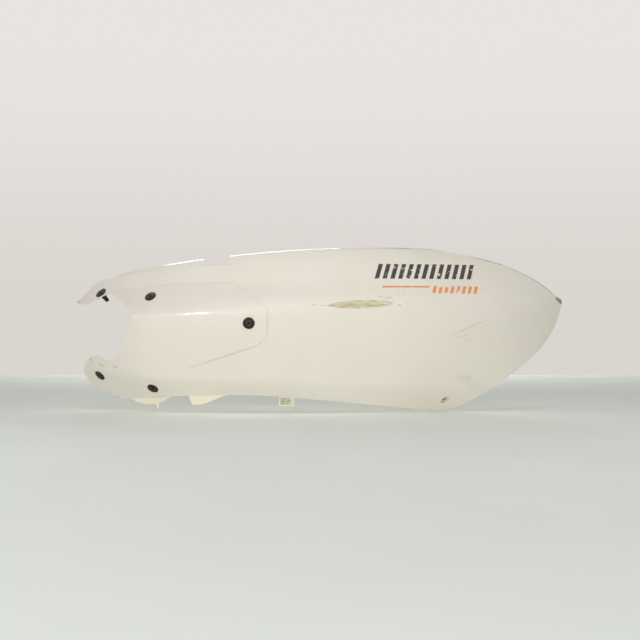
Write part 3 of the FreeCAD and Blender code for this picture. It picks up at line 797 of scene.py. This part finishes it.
class SIDEPANEL_OT_rivets(bpy.types.Operator):
    """Make the rivet bodies and their centre pins"""

    bl_idname = "side_panel.rivets"
    bl_label = "Rivets"

    def execute(self, context):
        settings = context.scene.side_panel_rivets
        effects = make_effects()
        for node, black in (("rivet_bodies", settings.black), ("rivet_pins", settings.pin_black)):
            material = make_nylon(f"{node}_nylon", black, settings, effects)
            finish_piece(merged_copy(node), f"{node}_nylon", node, [material], settings.edge_round)
        return {"FINISHED"}


def make_floor(settings):
    """A flat floor under the panel."""
    corners = [
        (-FLOOR_REACH, -FLOOR_REACH, FLOOR_Z), (FLOOR_REACH, -FLOOR_REACH, FLOOR_Z),
        (FLOOR_REACH, settings.floor_depth, FLOOR_Z), (-FLOOR_REACH, settings.floor_depth, FLOOR_Z),
    ]
    work = bmesh.new()
    work.faces.new([work.verts.new(corner) for corner in corners])
    floor = place_mesh(work, "floor", [make_floor_finish("floor", settings.floor)])


def soft_light(name, lamp, power):
    """A studio light that shows neither to the camera nor in reflections."""
    data = bpy.data.lights.new(name, "AREA")
    data.shape = "RECTANGLE"
    data.size, data.size_y = lamp.size
    data.energy = power
    data.spread = math.radians(lamp.spread)
    light = bpy.data.objects.new(name, data)
    light.location = lamp.place
    aim = Vector(lamp.target) - Vector(lamp.place)
    light.rotation_euler = aim.to_track_quat("-Z", "Y").to_euler()
    light.visible_camera = False
    light.visible_glossy = False
    bpy.context.scene.collection.objects.link(light)
    return light


def highlight_card(name, lamp, power):
    """A bright card that only shows in reflections."""
    card = soft_light(name, lamp, power)
    card.visible_glossy = True
    card.visible_diffuse = False


def make_world(settings):
    """An even fill light, with a pale background in its place for the camera and in reflections."""
    world = bpy.data.worlds.new("even_light")
    world.use_nodes = True
    world.node_tree.nodes.clear()
    nodes = Nodes(world.node_tree)
    ray = nodes.add("ShaderNodeLightPath").outputs
    seen = nodes.math("ADD", ray["Is Camera Ray"], ray["Is Glossy Ray"], clamp=True)
    seen = nodes.math("ADD", seen, ray["Is Transmission Ray"], clamp=True)
    direction = nodes.add("ShaderNodeTexCoord").outputs["Generated"]
    height = nodes.add("ShaderNodeSeparateXYZ", {0: direction}).outputs["Z"]
    rise = nodes.step(height, *BACKGROUND_RISE)
    pale = nodes.mix(rise, opaque(settings.background_low), opaque(settings.background_high))
    fill = nodes.add("ShaderNodeBackground", {"Color": opaque(FILL_COLOUR), "Strength": settings.fill})
    shown = nodes.add("ShaderNodeBackground", {"Color": pale, "Strength": 1.0})
    both = nodes.add("ShaderNodeMixShader", {0: seen, 1: fill.outputs[0], 2: shown.outputs[0]})
    nodes.add("ShaderNodeOutputWorld", {"Surface": both.outputs[0]})
    return world


def make_camera(settings):
    """A camera that looks straight at the panel's outer face."""
    camera = bpy.data.objects.new("camera", bpy.data.cameras.new("camera"))
    camera.data.lens = settings.lens
    camera.data.sensor_width = SENSOR_WIDTH
    camera.location = (settings.camera_x, -settings.camera_distance, settings.camera_z)
    camera.rotation_euler = (math.radians(90), 0.0, 0.0)
    bpy.context.scene.collection.objects.link(camera)
    return camera


class SIDEPANEL_OT_stage(bpy.types.Operator):
    """Make the floor, the background, the lights and the camera"""

    bl_idname = "side_panel.stage"
    bl_label = "Stage"

    def execute(self, context):
        scene = context.scene
        settings = scene.side_panel_stage
        make_floor(settings)
        soft_light("front_light", FRONT_LIGHT, settings.front_power)
        soft_light("low_light", LOW_LIGHT, settings.low_power)
        highlight_card("ridge_card", RIDGE_CARD, settings.ridge_power)
        highlight_card("rim_card", RIM_CARD, settings.rim_power)
        soft_light("floor_light", FLOOR_LIGHT, settings.floor_power)
        soft_light("back_light", BACK_LIGHT, settings.back_power)
        scene.world = make_world(settings)
        scene.camera = make_camera(settings)
        scene.view_settings.view_transform = "Standard"
        return {"FINISHED"}


class SIDEPANEL_PT_sidebar(bpy.types.Panel):
    """Lists the pieces of the side panel and their settings"""

    bl_label = "Side Panel"
    bl_idname = "SIDEPANEL_PT_sidebar"
    bl_space_type = "VIEW_3D"
    bl_region_type = "UI"
    bl_category = "Side Panel"

    def draw(self, context):
        groups = (
            (SIDEPANEL_OT_moulding, context.scene.side_panel),
            (SIDEPANEL_OT_rivets, context.scene.side_panel_rivets),
            (SIDEPANEL_OT_stage, context.scene.side_panel_stage),
        )
        for operator, settings in groups:
            box = self.layout.box()
            for name in settings.bl_rna.properties.keys():
                if name not in ("rna_type", "name"):
                    box.prop(settings, name)
            box.operator(operator.bl_idname)


CLASSES = (
    PanelSettings, RivetSettings, StageSettings,
    SIDEPANEL_OT_moulding, SIDEPANEL_OT_rivets, SIDEPANEL_OT_stage, SIDEPANEL_PT_sidebar,
)


def register():
    for cls in CLASSES:
        bpy.utils.register_class(cls)
    bpy.types.Scene.side_panel = bpy.props.PointerProperty(type=PanelSettings)
    bpy.types.Scene.side_panel_rivets = bpy.props.PointerProperty(type=RivetSettings)
    bpy.types.Scene.side_panel_stage = bpy.props.PointerProperty(type=StageSettings)


def unregister():
    del bpy.types.Scene.side_panel
    del bpy.types.Scene.side_panel_rivets
    del bpy.types.Scene.side_panel_stage
    for cls in reversed(CLASSES):
        bpy.utils.unregister_class(cls)


def main():
    register()
    bpy.ops.side_panel.stage()
    bpy.ops.side_panel.moulding()
    bpy.ops.side_panel.rivets()


if __name__ == "__main__":
    main()
